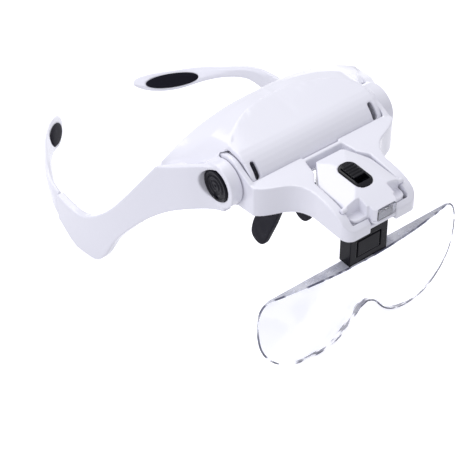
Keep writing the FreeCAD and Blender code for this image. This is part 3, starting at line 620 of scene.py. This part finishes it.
# %% Knobs
KNOB_PROFILE = [(0.0, 0.10), (0.55, 0.10), (0.75, -0.25), (1.9, -0.3), (2.1, -0.05), (3.0, -0.05),
                (3.2, -0.45), (4.6, -0.5), (4.8, -0.1), (5.9, -0.1), (6.1, -0.55), (7.4, -0.6),
                (7.7, -0.15), (8.1, 0.0), (8.8, 0.0), (9.15, -0.15), (9.28, -0.5), (9.28, -4.0),
                (9.0, -4.3), (0.0, -4.3)]
FACE_X = 57.4
TAB_SIZE_MM = (1.3, 2.4, 3.2)
TAB_SUNK_MM = 0.05
TAB_LOW_MM = 6.8
TAB_ROUND_MM = 0.45


def turned_knob(name, side, around=96):
    """The profile gives radius and depth from the knob's face, in millimetres."""
    bm = bmesh.new()
    turns = [2 * math.pi * i / around for i in range(around)]
    rows = []
    for radius, depth in KNOB_PROFILE:
        x = side * (FACE_X + depth)
        if radius == 0.0:
            rows.append([bm.verts.new(at(x, 0, 0))])
            continue
        rows.append([bm.verts.new(at(x, radius * math.cos(t), radius * math.sin(t)))
                     for t in turns])
    for low, high in zip(rows, rows[1:]):
        for i in range(around):
            j = (i + 1) % around
            corners = [low[i % len(low)], low[j % len(low)],
                       high[j % len(high)], high[i % len(high)]]
            bm.faces.new(list(dict.fromkeys(corners)))
    bmesh.ops.recalc_face_normals(bm, faces=bm.faces)
    tab = bmesh.ops.create_cube(bm, size=1.0)["verts"]
    bmesh.ops.scale(bm, vec=Vector(TAB_SIZE_MM) * MM, verts=tab)
    bmesh.ops.translate(bm, vec=at(side * (FACE_X - TAB_SUNK_MM), 0, -TAB_LOW_MM), verts=tab)
    edges = list({e for v in tab for e in v.link_edges})
    bmesh.ops.bevel(bm, geom=edges, offset=TAB_ROUND_MM * MM, segments=4, affect="EDGES")
    mesh = as_mesh(name, bm)
    shade_smooth(mesh)
    return shown(name, mesh)


for side, sign in (("left", 1), ("right", -1)):
    stand_for(turned_knob("turned_knob_" + side, sign), "knob_" + side)

# %% [markdown]
# ## Finishes of the lens
# The lens is cast acrylic with polished faces, but the shelf on top is left as it comes from the
# mould, which is satin. The middle seems to vanish while the top shows as a pale grey band, whose
# grey is painted shade in streaks drawn from noise. The lower edge is polished with a flame. Its
# dark broken streaks are painted shade drawn from noise too, because the bent light that makes
# them on a real lens would take very long to find. Clear plastic also throws too dark a shadow in
# a path tracer, so shadow rays are let straight past.

# %% Lens finishes


def clear_to_shadow(material):
    """Lets shadow rays through a clear material."""
    tree = material.node_tree
    out = next(n for n in tree.nodes if n.type == "OUTPUT_MATERIAL")
    shader = out.inputs["Surface"].links[0].from_socket
    rays = add(material, "ShaderNodeLightPath")
    clear = add(material, "ShaderNodeBsdfTransparent")
    both = add(material, "ShaderNodeMixShader",
               links={0: rays.outputs["Is Shadow Ray"], 1: shader, 2: clear.outputs[0]})
    tree.links.new(both.outputs[0], out.inputs["Surface"])


def satin_rim(name):
    """Satin acrylic: painted grey shade in faint streaks stands for light spread in its skin."""
    m = new_material(name)
    where = place_in(m)
    flow_and_painted_shade = add(m, "ShaderNodeTexNoise", {"Scale": 1 / (9 * MM), "Detail": 3.0, "Distortion": 2.5},
               {"Vector": where})
    # The grey in this tone is painted shade, for light spread in the satin skin; the same noise varies the gloss.
    tone = add(m, "ShaderNodeMix", {"data_type": "RGBA", 6: linear("FFFFFF"), 7: linear("A9ADC4")},
               {0: flow_and_painted_shade.outputs["Fac"]})
    gloss = add(m, "ShaderNodeMapRange", {"To Min": 0.12, "To Max": 0.4},
                {"Value": flow_and_painted_shade.outputs["Fac"]})
    shader = add(m, "ShaderNodeBsdfPrincipled", {"IOR": 1.49, "Transmission Weight": 0.3},
                 {"Base Color": tone.outputs[2], "Roughness": gloss.outputs[0]})
    return finish_with(m, shader)


def flamed_edge(name):
    """Flame-polished wall: mostly clear, with painted dark broken streaks for light that bends away."""
    m = new_material(name)
    where = place_in(m)
    streak = add(m, "ShaderNodeTexNoise", {"Scale": 1 / (9 * MM), "Detail": 1.0}, {"Vector": where})
    band = add(m, "ShaderNodeMapRange", {"From Min": 0.45, "From Max": 0.55},
               {"Value": streak.outputs["Fac"]})
    # The dark colour is painted shade for the light that bends away at the edge.
    dark = add(m, "ShaderNodeBsdfPrincipled", {"Base Color": linear("6A6C82"), "IOR": 1.49,
                                               "Roughness": 0.1, "Transmission Weight": 0.5})
    clear = add(m, "ShaderNodeBsdfTransparent")
    mixed = add(m, "ShaderNodeMixShader",
                links={0: band.outputs[0], 1: clear.outputs[0], 2: dark.outputs[0]})
    return finish_with(m, mixed)


RIM = satin_rim("satin_acrylic_rim_painted_shade")
FLAMED = flamed_edge("flame_polished_edge_painted_shade")
for clear in (ACRYLIC, WINDOW, RIM, FLAMED):
    clear_to_shadow(clear)

# %% [markdown]
# ## Lens
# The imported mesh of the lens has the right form, so only its faces are sorted, by the way they
# look: forward or back are the two big clear faces, down is the flamed edge, and the shelf and the
# sides are satin.

# %% Lens faces sorted
BIG_FACE = 0.85
WALL = 0.5
LOOKS_DOWN = -0.35
lens_mesh = as_mesh("cast_lens", welded_copy("lens"))
for finish in (ACRYLIC, RIM, FLAMED):
    lens_mesh.materials.append(finish)
for face in lens_mesh.polygons:
    face.use_smooth = abs(face.normal.y) > BIG_FACE
    if abs(face.normal.y) < WALL:
        face.material_index = 2 if face.normal.z < LOOKS_DOWN else 1
stand_for(shown("cast_lens", lens_mesh), "lens")

# %% [markdown]
# ## Lip of the lens
# Where the bulging front meets the wall, a cast lens has a small rounded lip, and light bends so
# strongly there that the outline shows as a thin broken line. A sharp edge would not show it. The
# lip is a thin tube laid along the edges of the mesh between the front and the wall, so it follows
# the outline, and its broken line is painted shade from the flamed finish. It is set back from the
# front face and stands half a millimetre proud of the wall.

# %% Lip
FRONT = -0.7
LIP_MM = 0.55
LIP_BACK_MM = 0.45


def front_outline(mesh):
    """The closed run of points where the bulging front meets the wall."""
    bm = bmesh.new()
    bm.from_mesh(mesh)
    rim = [e for e in bm.edges if len(e.link_faces) == 2
           and min(f.normal.y for f in e.link_faces) < FRONT
           and max(f.normal.y for f in e.link_faces) > -WALL]
    nexts = {}
    for e in rim:
        for a, b in (e.verts, reversed(e.verts)):
            nexts.setdefault(a, []).append(b)
    run = [rim[0].verts[0]]
    seen = set(run)
    while True:
        ahead = [v for v in nexts[run[-1]] if v not in seen]
        if not ahead:
            break
        run.append(ahead[0])
        seen.add(ahead[0])
    points = [v.co.copy() for v in run]
    bm.free()
    return points


outline = [place + Vector((0, LIP_BACK_MM * MM, 0)) for place in front_outline(lens_mesh)]
lip = shown("lens_lip", tube("lens_lip", outline, LIP_MM, closed=True))
lip.data.materials.clear()
# The lip's dark broken line is painted shade from the flamed finish.
lip.data.materials.append(FLAMED)
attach(lip, "lens")
print("lens lip", len(outline), "points along the edge")
